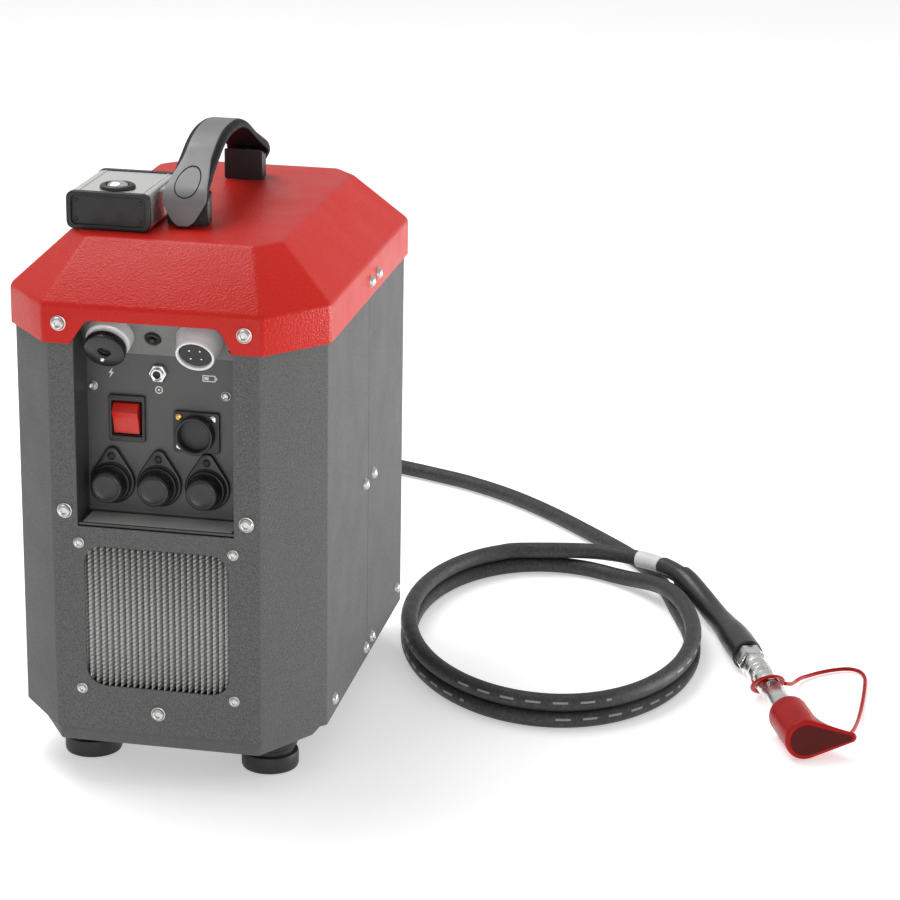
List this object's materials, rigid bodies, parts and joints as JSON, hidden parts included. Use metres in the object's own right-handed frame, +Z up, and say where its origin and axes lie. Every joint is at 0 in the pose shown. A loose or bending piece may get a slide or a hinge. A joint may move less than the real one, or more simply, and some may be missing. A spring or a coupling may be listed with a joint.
{
  "type": "portable hydraulic power unit",
  "caption": "Battery-driven hydraulic power unit in a grey sheet casing with a red hipped lid, folding carrying handle, sunk control panel and a coiled pressure hose with a capped coupler.",
  "frame": {"origin": "on the floor under the middle of the casing", "axes": "+Z up, -Y to the front with the control panel, +X to the right seen from the front"},
  "size_m": [0.5627, 0.6976, 0.4195],
  "materials": {
    "casing_paint": "grey textured powder coat",
    "lid_paint": "red textured powder coat",
    "handle_plastic": "dark grey moulded",
    "black_plastic": "black moulded",
    "rubber": "black rubber",
    "steel": "satin",
    "chrome": "bright plated",
    "aluminium": "anodised",
    "switch_red": "red gloss",
    "cap_red": "red gloss",
    "filter_paper": "pleated paper",
    "hose_cover": "black wrapped cover",
    "circuit_board": "green board"
  },
  "bodies": {
    "casing": {"aux_socket": "black_plastic", "base_pan": "casing_paint", "battery_pack": "black_plastic", "battery_shelf": "steel", "bend_sleeve": "rubber", "box_bezel_front": "black_plastic", "box_bezel_rear": "black_plastic", "bulkhead_fitting": "steel", "bulkhead_nut": "steel", "button_ring": "black_plastic", "cap_strap": "cap_red", "charge_connector": "chrome", "charge_insert": "black_plastic", "control_board": "circuit_board", "control_box": "aluminium", "control_panel": "casing_paint", "coupler_nipple": "chrome", "filter_element": "filter_paper", "filter_frame": "black_plastic", "foot_front_left": "rubber", "foot_front_right": "rubber", "foot_rear_left": "rubber", "foot_rear_right": "rubber", "front_shell": "casing_paint", "handle_bracket_front": "black_plastic", "handle_bracket_rear": "black_plastic", "hex_fitting": "steel", "hose_coil": "hose_cover", "hose_end": "hose_cover", "hose_run": "hose_cover", "lid": "lid_paint", "lid_screw_front_left": "steel", "lid_screw_front_right": "steel", "lid_screw_rear_left": "steel", "lid_screw_rear_right": "steel", "motor": "steel", "motor_cradle": "aluminium", "oil_tank": "steel", "outlet_socket_1": "rubber", "outlet_socket_2": "rubber", "outlet_socket_3": "rubber", "power_cap": "black_plastic", "power_connector": "chrome", "pump_block": "aluminium", "rear_shell": "casing_paint", "shrink_sleeve": "rubber", "signal_jack": "chrome", "switch_bezel": "black_plastic", "temperature_lamp": "black_plastic"},
    "handle": {"handle": "handle_plastic", "handle_pivot_front": "handle_plastic", "handle_pivot_rear": "handle_plastic"},
    "rocker": {"switch_rocker": "switch_red"},
    "button": {"start_button": "chrome"},
    "outlet_cap_1": {"outlet_cap_1": "rubber"},
    "outlet_cap_2": {"outlet_cap_2": "rubber"},
    "outlet_cap_3": {"outlet_cap_3": "rubber"},
    "rotor": {"motor_shaft": "steel", "cooling_fan": "black_plastic"},
    "coupler_cap": {"dust_cap": "cap_red"}
  },
  "joints": [
    {"name": "handle_swing", "type": "hinge", "parent": "casing", "child": "handle", "pos_m": [0, 0, 0.3815], "axis": [0, 1, 0], "range_deg": [-11, 11]},
    {"name": "rocker_switch", "type": "hinge", "parent": "casing", "child": "rocker", "pos_m": [-0.0255, -0.134, 0.2485], "axis": [1, 0, 0], "range_deg": [-17, 0]},
    {"name": "start_press", "type": "slide", "parent": "casing", "child": "button", "axis": [0, 0, -1], "range_m": [0, 0.002], "stiffness_N_per_m": 400, "springref_m": -0.004},
    {"name": "outlet_cap_1_pull", "type": "slide", "parent": "casing", "child": "outlet_cap_1", "axis": [0, -1, 0], "range_m": [0, 0.018]},
    {"name": "outlet_cap_2_pull", "type": "slide", "parent": "casing", "child": "outlet_cap_2", "axis": [0, -1, 0], "range_m": [0, 0.018]},
    {"name": "outlet_cap_3_pull", "type": "slide", "parent": "casing", "child": "outlet_cap_3", "axis": [0, -1, 0], "range_m": [0, 0.018]},
    {"name": "rotor_spin", "type": "hinge", "parent": "casing", "child": "rotor", "pos_m": [0, 0, 0.1], "axis": [0, 1, 0], "continuous": true},
    {"name": "coupler_cap_pull", "type": "slide", "parent": "casing", "child": "coupler_cap", "axis": [0.3338, -0.9425, 0.0147], "range_m": [0, 0.044]}
  ]
}
